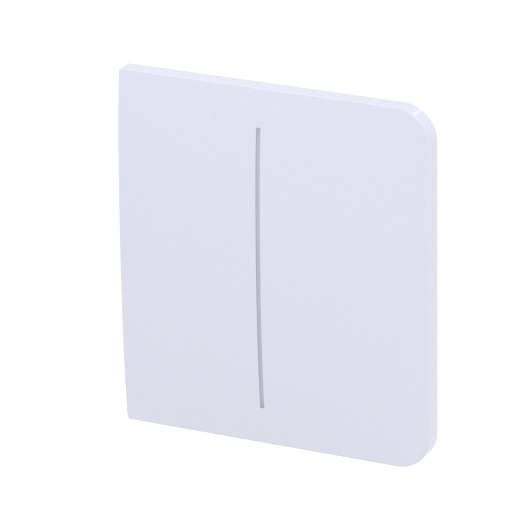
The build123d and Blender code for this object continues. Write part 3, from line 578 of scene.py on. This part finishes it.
def new_piece(name, shape, node, stands_for_node=True):
    """Turns a bmesh into a piece with the body and the finish of a CAD node, which it may stand for."""
    bmesh.ops.remove_doubles(shape, verts=shape.verts, dist=WELD)
    bmesh.ops.recalc_face_normals(shape, faces=shape.faces)
    mesh = as_mesh(shape, name)
    mesh.shade_smooth()
    mesh.set_sharp_from_angle(angle=SHARP_ANGLE)
    mesh.materials.append(slot_material(SLOTS[node]))
    piece = bpy.data.objects.new(name, mesh)
    bpy.context.scene.collection.objects.link(piece)
    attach(piece, BODIES[node])
    if stands_for_node:
        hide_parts(node)
    return piece


def bevel(shape, edges, width, steps):
    """Rounds edges of a shape by a width, in some steps."""
    bmesh.ops.bevel(
        shape,
        geom=edges,
        offset=width,
        affect="EDGES",
        segments=steps,
        profile=0.5,
        material=-1,
        clamp_overlap=True,
    )


def lean_normals(mesh):
    """Leans a mesh's normals to its larger faces, except at sharp edges, so that flat faces look flat."""
    leaning = [Vector() for corner in mesh.vertices]
    for face in mesh.polygons:
        for corner in face.vertices:
            leaning[corner] += face.area * face.normal
    for edge in mesh.edges:
        if edge.use_edge_sharp:
            for corner in edge.vertices:
                leaning[corner] = Vector()  # none given: the shading's own is kept
    mesh.normals_split_custom_set_from_vertices([way.normalized() for way in leaning])


def round_edges(width, *names):
    """Makes box-like CAD nodes anew, from merged copies of their meshes, with round edges of a width."""
    for name in names:
        shape = bmesh.new()
        shape.from_mesh(NODES[name].data)
        bmesh.ops.remove_doubles(shape, verts=shape.verts, dist=WELD)
        bmesh.ops.dissolve_limit(shape, angle_limit=FLAT_ANGLE, verts=shape.verts, edges=shape.edges)
        sharp = [edge for edge in shape.edges if edge.calc_face_angle(0.0) > SHARP_ANGLE]
        bevel(shape, sharp, width, ROUND_STEPS)
        piece = new_piece("rounded_" + name, shape, name)
        lean_normals(piece.data)


def stamp(shape, mesh, matrix):
    """Adds a copy of a mesh to a shape, moved by a matrix."""
    old = len(shape.verts)
    shape.from_mesh(mesh)
    shape.verts.ensure_lookup_table()
    bmesh.ops.transform(shape, matrix=matrix, verts=shape.verts[old:])


def set_copies(name, mesh, node, turn, places):
    """Makes a CAD node anew from copies of a mesh, turned one way and set at some places."""
    shape = bmesh.new()
    for place in places:
        stamp(shape, mesh, Matrix.Translation(place) @ turn)
    new_piece(name, shape, node)


def lathe(shape, profile, steps):
    """Turns an open profile of (radius, height) points once round the Z axis."""
    corners = [shape.verts.new((radius, 0, height)) for radius, height in profile]
    edges = [shape.edges.new(pair) for pair in zip(corners, corners[1:])]
    bmesh.ops.spin(
        shape,
        geom=corners + edges,
        cent=(0, 0, 0),
        axis=(0, 0, 1),
        angle=2 * math.pi,
        steps=steps,
        use_merge=True,
    )


def cut_thread(shape, root, crest, top, bottom, pitch, steps):
    """Winds a thread's ridge round a shank on the Z axis, from the top down to the bottom."""
    half = 0.4 * pitch  # half of the ridge's foot
    buried = root - 0.25 * (crest - root)  # the foot lies a little inside the shank
    turns = (top - bottom - 2 * half) / pitch
    count = round(turns * steps)
    ridge = ((buried, top - 2 * half), (crest, top - half), (buried, top))
    corners = [shape.verts.new((radius, 0, height)) for radius, height in ridge]
    edges = [shape.edges.new((corners[i - 1], corners[i])) for i in range(3)]
    wound = bmesh.ops.spin(
        shape,
        geom=corners + edges,
        cent=(0, 0, 0),
        axis=(0, 0, 1),
        dvec=(0, 0, -pitch / steps),
        angle=2 * math.pi * count / steps,
        steps=count,
    )
    last = [part for part in wound["geom_last"] if isinstance(part, bmesh.types.BMEdge)]
    bmesh.ops.holes_fill(shape, edges=edges + last, sides=3)


def cross_screw(name, head_radius, head_height, crest, reach, pitch):
    """A pan head screw with a cross recess: its head stands on Z = 0 and its shank runs down."""
    sizes = bpy.context.scene.switch_sizes
    root = crest - sizes.thread_depth
    shape = bmesh.new()
    # Pan head from its flat top down, then shank and point
    profile = (
        (0.66 * head_radius, head_height),
        (0.82 * head_radius, 0.94 * head_height),
        (0.94 * head_radius, 0.76 * head_height),
        (head_radius, 0.48 * head_height),
        (head_radius, 0.08 * head_height),
        (0.97 * head_radius, 0),
        (root, 0),
        (root, -0.84 * reach),
        (0.45 * root, -0.97 * reach),
        (0, -reach),
    )
    lathe(shape, profile, CROSS_SCREW_STEPS)
    bmesh.ops.remove_doubles(shape, verts=shape.verts, dist=WELD)
    rim = [edge for edge in shape.edges if edge.is_boundary]
    arm = sizes.recess_arm / 2
    tip = 0.56 * head_radius
    outline = [(tip, -arm), (tip, arm), (arm, arm)]
    corners = []
    for quarter in range(4):
        turn = Matrix.Rotation(quarter * math.pi / 2, 3, "Z")
        corners += [shape.verts.new(turn @ Vector((x, y, head_height))) for x, y in outline]
    cross = [shape.edges.new((corners[i - 1], corners[i])) for i in range(len(corners))]
    bmesh.ops.triangle_fill(shape, use_beauty=True, edges=rim + cross)
    sunk = bmesh.ops.extrude_edge_only(shape, edges=cross)["geom"]
    floor_corners = [part for part in sunk if isinstance(part, bmesh.types.BMVert)]
    floor_edges = [part for part in sunk if isinstance(part, bmesh.types.BMEdge)]
    floor_edges = [edge for edge in floor_edges if all(end in floor_corners for end in edge.verts)]
    bmesh.ops.scale(shape, vec=(0.55, 0.55, 1), verts=floor_corners)
    bmesh.ops.translate(shape, vec=(0, 0, -0.62 * head_height), verts=floor_corners)
    bmesh.ops.triangle_fill(shape, use_beauty=True, edges=floor_edges)
    cut_thread(shape, root, crest, -0.12 * reach, -0.84 * reach, pitch, CROSS_SCREW_STEPS)
    return as_mesh(shape, name)


def slotted_screw(name, head_radius, head_height, crest, reach):
    """A cylinder head screw with a slot along X: its head stands on Z = 0 and its shank runs down."""
    sizes = bpy.context.scene.switch_sizes
    root = crest - sizes.thread_depth
    floor = head_height - sizes.slot_depth
    shape = bmesh.new()
    # Head from the slot's floor down, then shank and blunt end
    profile = (
        (0, floor),
        (head_radius, floor),
        (head_radius, 0.12 * head_height),
        (0.95 * head_radius, 0),
        (root, 0),
        (root, 0.3 * root - reach),
        (0.7 * root, -reach),
        (0, -reach),
    )
    lathe(shape, profile, CLAMP_SCREW_STEPS)
    bmesh.ops.remove_doubles(shape, verts=shape.verts, dist=WELD)
    for side in (-1, 1):
        everything = shape.verts[:] + shape.edges[:] + shape.faces[:]
        edge = (0, side * sizes.slot_width / 2, 0)
        bmesh.ops.bisect_plane(shape, geom=everything, dist=WELD, plane_co=edge, plane_no=(0, 1, 0))
    shape.faces.ensure_lookup_table()
    lands = [
        face
        for face in shape.faces
        if abs(face.calc_center_median().z - floor) < WELD
        and abs(face.calc_center_median().y) > sizes.slot_width / 2
    ]
    raised = bmesh.ops.extrude_face_region(shape, geom=lands)["geom"]
    tops = [part for part in raised if isinstance(part, bmesh.types.BMVert)]
    bmesh.ops.translate(shape, vec=(0, 0, sizes.slot_depth), verts=tops)
    bmesh.ops.delete(shape, geom=lands, context="FACES")
    cut_thread(shape, root, crest, -0.1 * reach, -0.9 * reach, sizes.clamp_thread, CLAMP_SCREW_STEPS)
    return as_mesh(shape, name)


def draw_on(shape, faces, rise, scale_x=1.0, scale_y=1.0):
    """Draws faces on along Z by a rise, each one scaled about its own middle, and returns the new ends."""
    drawn = bmesh.ops.extrude_discrete_faces(shape, faces=faces)["faces"]
    for face in drawn:
        about = Matrix.Translation(-face.calc_center_median())
        bmesh.ops.scale(shape, vec=(scale_x, scale_y, 1), space=about, verts=face.verts)
        bmesh.ops.translate(shape, vec=(0, 0, rise), verts=face.verts)
    return drawn


def square_pin(name, width, reach, point):
    """A square pin with soft edges: it stands on Z = 0 and tapers to a blunt point."""
    shape = bmesh.new()
    bmesh.ops.create_grid(shape, x_segments=1, y_segments=1, size=width / 2)
    ends = draw_on(shape, shape.faces[:], reach - point)
    long_edges = [edge for edge in shape.edges if abs(edge.verts[0].co.z - edge.verts[1].co.z) > WELD]
    draw_on(shape, ends, point, 0.42, 0.42)
    foot = [edge for edge in shape.edges if edge.is_boundary]
    bmesh.ops.holes_fill(shape, edges=foot, sides=4)
    bevel(shape, long_edges, 0.12 * width, 2)
    return as_mesh(shape, name)


def guide_rib(name, width, reach, height):
    """A low rib along Y with sloped ends and soft edges, rooted a little below Z = 0."""
    shape = bmesh.new()
    bmesh.ops.create_grid(shape, x_segments=1, y_segments=1, size=0.5)
    bmesh.ops.scale(shape, vec=(width, reach, 1), verts=shape.verts)
    bmesh.ops.translate(shape, vec=(0, 0, -height), verts=shape.verts)
    feet = draw_on(shape, shape.faces[:], height)
    draw_on(shape, feet, height, 0.62, 0.86)
    edges = [edge for edge in shape.edges if max(end.co.z for end in edge.verts) > 0.5 * height]
    bevel(shape, edges, 0.3 * height, ROUND_STEPS)
    foot = [edge for edge in shape.edges if edge.is_boundary]
    bmesh.ops.holes_fill(shape, edges=foot, sides=4)
    return as_mesh(shape, name)


def plug_cells(size_x, size_y, depth):
    """A block of square plug cells, its front at Z = 0: returns the shape and the cells' faces."""
    shape = bmesh.new()
    bmesh.ops.create_grid(shape, x_segments=PIN_COLUMNS, y_segments=PIN_ROWS, size=0.5)
    bmesh.ops.scale(shape, vec=(size_x, size_y, 1), verts=shape.verts)
    cells = shape.faces[:]
    rim = [edge for edge in shape.edges if edge.is_boundary]
    walls = bmesh.ops.extrude_edge_only(shape, edges=rim)["geom"]
    back = [part for part in walls if isinstance(part, bmesh.types.BMVert)]
    bmesh.ops.translate(shape, vec=(0, 0, -depth), verts=back)
    open_edges = [edge for edge in shape.edges if edge.is_boundary]
    bmesh.ops.contextual_create(shape, geom=open_edges)
    return shape, cells


def corners_of(low, high, inset):
    """The four (x, z) corners of a box, drawn in by an inset."""
    return [
        (x, z)
        for x in (low.x + inset, high.x - inset)
        for z in (low.z + inset, high.z - inset)
    ]


def seen_directly(tree, strength):
    """A strength for rays that come from the eye, a mirror or a clear body, and nothing for the others."""
    path = add_node(tree, "ShaderNodeLightPath").outputs
    mirrored = reckon(tree, "MAXIMUM", path["Is Camera Ray"], path["Is Glossy Ray"])
    seen = reckon(tree, "MAXIMUM", mirrored, path["Is Transmission Ray"])
    return reckon(tree, "MULTIPLY", seen, strength)


class SWITCH_OT_studio(Operator):
    """Sets the camera, the pale floor, the sky and the three soft lamps"""

    bl_idname = "touch_switch.studio"
    bl_label = "Studio"

    def execute(self, context):
        studio = context.scene.switch_studio
        context.scene.view_settings.view_transform = "Standard"
        self.set_camera(context, studio)
        self.lay_floor(context, studio)
        self.light_sky(context, studio)
        for name, (place, width) in LAMPS.items():
            self.hang_lamp(context, name + " lamp", place, width, getattr(studio, name + "_power"))
        return {"FINISHED"}

    def set_camera(self, context, studio):
        """Stands the camera where the photograph was taken from."""
        level = math.cos(studio.pitch)
        back = Vector((math.sin(studio.yaw) * level, -math.cos(studio.yaw) * level, math.sin(studio.pitch)))
        right = Vector((math.cos(studio.yaw), math.sin(studio.yaw), 0))
        up = back.cross(right)
        tilted_right = math.cos(studio.roll) * right + math.sin(studio.roll) * up
        tilted_up = back.cross(tilted_right)
        turn = Matrix((tilted_right, tilted_up, back)).transposed().to_4x4()
        data = bpy.data.cameras.new("camera")
        data.sensor_width = SENSOR_WIDTH
        data.lens = studio.lens
        data.clip_end = FAR_CLIP
        camera = bpy.data.objects.new("camera", data)
        context.scene.collection.objects.link(camera)
        camera.matrix_world = Matrix.Translation(Vector(studio.aim) + back * studio.distance) @ turn
        context.scene.camera = camera

    def lay_floor(self, context, studio):
        """Lays a pale floor that reads white, keeps the shadow and lets a camera look up through it."""
        shape = bmesh.new()
        bmesh.ops.create_grid(shape, x_segments=1, y_segments=1, size=studio.floor_size / 2)
        bmesh.ops.translate(shape, vec=(0, 0, -studio.floor_drop), verts=shape.verts)
        floor = bpy.data.objects.new("floor", as_mesh(shape, "floor"))
        context.scene.collection.objects.link(floor)
        material = bpy.data.materials.new("floor")
        material.use_nodes = True
        tree = material.node_tree
        tree.nodes.clear()
        lit = add_node(tree, "ShaderNodeBsdfDiffuse", {"Color": (*studio.floor_tone, 1)})
        fill = add_node(tree, "ShaderNodeEmission", {"Strength": seen_directly(tree, studio.floor_fill)})
        whole = add_node(tree, "ShaderNodeAddShader", {0: lit.outputs["BSDF"], 1: fill.outputs["Emission"]})
        clear = add_node(tree, "ShaderNodeBsdfTransparent")
        side = add_node(tree, "ShaderNodeNewGeometry").outputs["Backfacing"]
        mixed = add_node(
            tree,
            "ShaderNodeMixShader",
            {0: side, 1: whole.outputs["Shader"], 2: clear.outputs["BSDF"]},
        )
        add_node(tree, "ShaderNodeOutputMaterial", {"Surface": mixed.outputs["Shader"]})
        floor.data.materials.append(material)

    def light_sky(self, context, studio):
        """Makes a sky that is white to the eye and lights a little more from above and from the right."""
        world = bpy.data.worlds.new("studio sky")
        context.scene.world = world
        world.use_nodes = True
        tree = world.node_tree
        tree.nodes.clear()
        way = add_node(tree, "ShaderNodeTexCoord").outputs["Generated"]
        slope = (studio.sky_side, 0, studio.sky_rise)
        lean = add_node(tree, "ShaderNodeVectorMath", {0: way, 1: slope}, operation="DOT_PRODUCT")
        light = reckon(tree, "ADD", lean.outputs["Value"], studio.sky_level)
        strength = mix_values(tree, seen_directly(tree, 1.0), light, 1.0)
        sky = add_node(tree, "ShaderNodeBackground", {"Color": (1, 1, 1, 1), "Strength": strength})
        add_node(tree, "ShaderNodeOutputWorld", {"Surface": sky.outputs["Background"]})

    def hang_lamp(self, context, name, place, width, strength):
        """Hangs a soft round lamp that faces the switch."""
        data = bpy.data.lights.new(name, "AREA")
        data.shape = "DISK"
        data.size = width
        data.energy = strength
        lamp = bpy.data.objects.new(name, data)
        context.scene.collection.objects.link(lamp)
        turn = Vector(place).to_track_quat("Z", "Y").to_matrix().to_4x4()
        lamp.matrix_world = Matrix.Translation(place) @ turn
        lamp.visible_camera = False


class SWITCH_OT_front_panel(Operator):
    """Finishes the crowned face and its rim"""

    bl_idname = "touch_switch.front_panel"
    bl_label = "Front panel"

    def execute(self, context):
        coat("front_panel")
        return {"FINISHED"}


class SWITCH_OT_divider(Operator):
    """Finishes the light bar between the touch fields and rounds the lamps behind it"""

    bl_idname = "touch_switch.divider"
    bl_label = "Divider"

    def execute(self, context):
        coat("divider_strip")
        round_edges(context.scene.switch_sizes.chip_edge, "divider_leds")
        return {"FINISHED"}


class SWITCH_OT_touch_layer(Operator):
    """Finishes the touch foils, their contacts and the touch board, and rounds the chips on it"""

    bl_idname = "touch_switch.touch_layer"
    bl_label = "Touch layer"

    def execute(self, context):
        coat("left_electrode", "right_electrode", "electrode_contacts", "touch_board")
        round_edges(context.scene.switch_sizes.chip_edge, "touch_controller", "touch_chips")
        return {"FINISHED"}


class SWITCH_OT_panel_back(Operator):
    """Finishes the panel's cover and makes its four screws"""

    bl_idname = "touch_switch.panel_back"
    bl_label = "Panel back"

    def execute(self, context):
        coat("panel_cover")
        sizes = context.scene.switch_sizes
        low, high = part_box("cover_screws")
        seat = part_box("panel_cover")[0].y + sizes.cover_floor
        screw = cross_screw(
            "cover screw",
            head_radius=sizes.cover_head,
            head_height=high.y - seat,
            crest=sizes.cover_shank,
            reach=seat - low.y,
            pitch=sizes.cover_thread,
        )
        places = [(x, seat, z) for x, z in corners_of(low, high, sizes.cover_head)]
        set_copies("panel_cover_screws", screw, "cover_screws", INTO_WALL, places)
        return {"FINISHED"}


class SWITCH_OT_plug(Operator):
    """Makes the plug between panel and core: its pointed pins, their header and the socket"""

    bl_idname = "touch_switch.plug"
    bl_label = "Plug"

    def execute(self, context):
        self.make_pins(context.scene.switch_sizes)
        self.make_header(context.scene.switch_sizes)
        self.make_socket(context.scene.switch_sizes)
        return {"FINISHED"}

    def make_pins(self, sizes):
        """Sets a pointed pin in every cell of the header."""
        low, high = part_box("header_pins")
        pin = square_pin("pin", sizes.pin_width, high.y - low.y, sizes.pin_point)
        inset = sizes.pin_width / 2
        step = (high.x - low.x - 2 * inset) / (PIN_COLUMNS - 1)
        places = [
            (low.x + inset + column * step, low.y, z)
            for column in range(PIN_COLUMNS)
            for z in (low.z + inset, high.z - inset)
        ]
        set_copies("plug_pins", pin, "header_pins", INTO_WALL, places)

    def make_header(self, sizes):
        """Moulds the pins' bar, with a groove round every cell."""
        low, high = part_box("pin_header")
        block, cells = plug_cells(high.x - low.x, high.z - low.z, high.y - low.y)
        bmesh.ops.inset_individual(
            block, faces=cells, thickness=sizes.cell_groove, depth=0.0, use_even_offset=True
        )
        lands = {corner for face in cells for corner in face.verts}
        grooves = [corner for corner in block.verts if corner not in lands and abs(corner.co.z) < WELD]
        bmesh.ops.translate(block, vec=(0, 0, -sizes.cell_groove), verts=grooves)
        middle = ((low.x + high.x) / 2, high.y, (low.z + high.z) / 2)
        set_copies("plug_header", as_mesh(block, "header"), "pin_header", INTO_WALL, [middle])

    def make_socket(self, sizes):
        """Moulds the socket, with a funnel and a hole in every cell."""
        low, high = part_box("pin_socket")
        block, cells = plug_cells(high.x - low.x, high.z - low.z, high.y - low.y)
        rim = ((high.x - low.x) / PIN_COLUMNS - sizes.socket_mouth) / 2
        bmesh.ops.inset_individual(block, faces=cells, thickness=rim, depth=0.0, use_even_offset=True)
        hole_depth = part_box("header_pins")[1].y - low.y + sizes.socket_spare
        narrowing = sizes.socket_hole / sizes.socket_mouth
        throats = draw_on(block, cells, -sizes.socket_funnel, narrowing, narrowing)
        draw_on(block, throats, sizes.socket_funnel - hole_depth)
        middle = ((low.x + high.x) / 2, low.y, (low.z + high.z) / 2)
        set_copies("plug_socket", as_mesh(block, "socket"), "pin_socket", OUT_OF_WALL, [middle])


class SWITCH_OT_frame_and_plate(Operator):
    """Finishes the support frame and the mounting plate"""

    bl_idname = "touch_switch.frame_and_plate"
    bl_label = "Frame and plate"

    def execute(self, context):
        coat("support_frame", "mounting_plate")
        return {"FINISHED"}


class SWITCH_OT_core_shell(Operator):
    """Finishes the core's housing, front and spring clips, and makes its guide ribs and four screws"""

    bl_idname = "touch_switch.core_shell"
    bl_label = "Core shell"

    def execute(self, context):
        coat("core_cover", "core_housing", "spigot_clips")
        self.make_ribs(context.scene.switch_sizes)
        self.make_screws(context.scene.switch_sizes)
        return {"FINISHED"}

    def make_ribs(self, sizes):
        """Sets the ribs that guide the core into the wall box on its left, right and upper side."""
        low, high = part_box("core_housing")
        rib = guide_rib("guide rib", sizes.rib_width, sizes.rib_length, sizes.rib_height)
        foot = (low.y + high.y) / 2, high.z
        shape = bmesh.new()
        for degrees in (-90, 0, 90):
            side = Matrix.Rotation(math.radians(degrees), 4, "Y")
            for step in (-1, 0, 1):
                stamp(shape, rib, side @ Matrix.Translation((step * sizes.rib_spacing, *foot)))
        new_piece("guide_ribs", shape, "core_housing", stands_for_node=False)

    def make_screws(self, sizes):
        """Sets the four screws that hold the plate and the core's front to the housing."""
        low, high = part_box("core_screws")
        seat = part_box("mounting_plate")[0].y
        screw = cross_screw(
            "core screw",
            head_radius=sizes.core_head,
            head_height=seat - low.y,
            crest=sizes.core_shank,
            reach=high.y - seat,
            pitch=sizes.core_thread,
        )
        places = [(x, seat, z) for x, z in corners_of(low, high, sizes.core_head)]
        set_copies("core_fixing_screws", screw, "core_screws", OUT_OF_WALL, places)


class SWITCH_OT_relay_board(Operator):
    """Finishes the relay board and the parts that it carries, and rounds the box-like ones"""

    bl_idname = "touch_switch.relay_board"
    bl_label = "Relay board"

    def execute(self, context):
        sizes = context.scene.switch_sizes
        coat("relay_board", "radio_board", "antenna")
        coat("transformer_coil", "filter_capacitor", "varistor", "fuse")
        round_edges(sizes.case_edge, "left_relay", "right_relay", "film_capacitor", "radio_shield")
        round_edges(sizes.block_edge, "transformer_yoke", "rectifier")
        return {"FINISHED"}


class SWITCH_OT_terminals(Operator):
    """Rounds the busbars and clamp cages and makes the slotted clamp screws"""

    bl_idname = "touch_switch.terminals"
    bl_label = "Terminals"

    def execute(self, context):
        sizes = context.scene.switch_sizes
        round_edges(sizes.strap_edge, "busbars", *(f"terminal_cage_{number}" for number in TERMINALS))
        for number in TERMINALS:
            node = f"terminal_screw_{number}"
            low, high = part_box(node)
            seat = high.y - sizes.clamp_head
            head_radius = (high.x - low.x) / 2
            screw = slotted_screw(
                "clamp screw",
                head_radius=head_radius,
                head_height=sizes.clamp_head,
                crest=sizes.clamp_shank,
                reach=seat - low.y,
            )
            middle = (low.x + head_radius, seat, (low.z + high.z) / 2)
            set_copies(f"clamp_screw_{number}", screw, node, INTO_WALL, [middle])
        return {"FINISHED"}


OPERATORS = (
    SWITCH_OT_studio,
    SWITCH_OT_front_panel,
    SWITCH_OT_divider,
    SWITCH_OT_touch_layer,
    SWITCH_OT_panel_back,
    SWITCH_OT_plug,
    SWITCH_OT_frame_and_plate,
    SWITCH_OT_core_shell,
    SWITCH_OT_relay_board,
    SWITCH_OT_terminals,
)


class SWITCH_PT_sidebar(Panel):
    """Lists the switch's settings and what makes its pieces"""

    bl_idname = "SWITCH_PT_sidebar"
    bl_label = "Touch Switch"
    bl_space_type = "VIEW_3D"
    bl_region_type = "UI"
    bl_category = "Touch Switch"

    def draw(self, context):
        scene = context.scene
        for settings in (scene.switch_studio, scene.switch_sizes, scene.switch_colours):
            box = self.layout.box()
            for key in settings.__annotations__:
                box.prop(settings, key)
        for operator in OPERATORS:
            self.layout.operator(operator.bl_idname)


CLASSES = (SwitchColours, SwitchSizes, SwitchStudio, *OPERATORS, SWITCH_PT_sidebar)


def register():
    """Registers the classes and hangs the settings on the scene."""
    for made in CLASSES:
        bpy.utils.register_class(made)
    bpy.types.Scene.switch_colours = PointerProperty(type=SwitchColours)
    bpy.types.Scene.switch_sizes = PointerProperty(type=SwitchSizes)
    bpy.types.Scene.switch_studio = PointerProperty(type=SwitchStudio)


def unregister():
    """Takes the settings off the scene and the classes out again."""
    del bpy.types.Scene.switch_studio
    del bpy.types.Scene.switch_sizes
    del bpy.types.Scene.switch_colours
    for made in reversed(CLASSES):
        bpy.utils.unregister_class(made)


def main():
    """Registers the add-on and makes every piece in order."""
    register()
    for operator in OPERATORS:
        group, name = operator.bl_idname.split(".")
        getattr(getattr(bpy.ops, group), name)()


if __name__ == "__main__":
    main()
